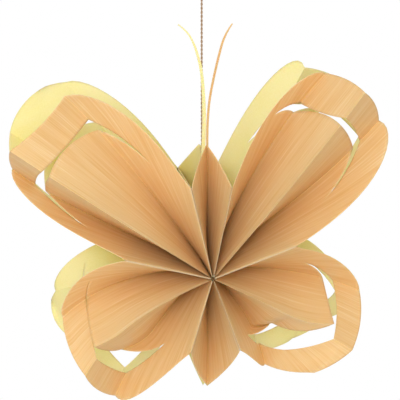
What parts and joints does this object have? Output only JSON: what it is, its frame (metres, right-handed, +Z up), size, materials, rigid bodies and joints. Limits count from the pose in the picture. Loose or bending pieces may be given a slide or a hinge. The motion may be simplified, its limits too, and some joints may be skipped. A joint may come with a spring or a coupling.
{
  "type": "pleated paper butterfly ornament",
  "caption": "Hanging butterfly of pleated duplex card, wood-grain outside and yellow inside, with crescent-cut wings, paper antennae and a twine loop.",
  "frame": {"origin": "top of the hanging loop, inside which a hook would sit", "axes": "+Z up along the hanging twine, -Y towards the front of the butterfly, +X to its right as seen from the front"},
  "size_m": [0.2956, 0.1244, 0.3549],
  "materials": {
    "card": "matt card with a printed wood grain, yellow on the inside",
    "yellow_card": "matt",
    "tan_card": "matt",
    "twine": "two-ply natural twine"
  },
  "bodies": {
    "root": {"head_sheet": "card", "left_fore_wing": "card", "left_hind_wing": "card", "tail_sheet": "card", "right_hind_wing": "card", "right_fore_wing": "card", "yellow_antenna": "yellow_card", "tan_antenna": "tan_card", "twine": "twine", "centre_knot": "twine", "hanging_loop": "twine"}
  },
  "joints": []
}
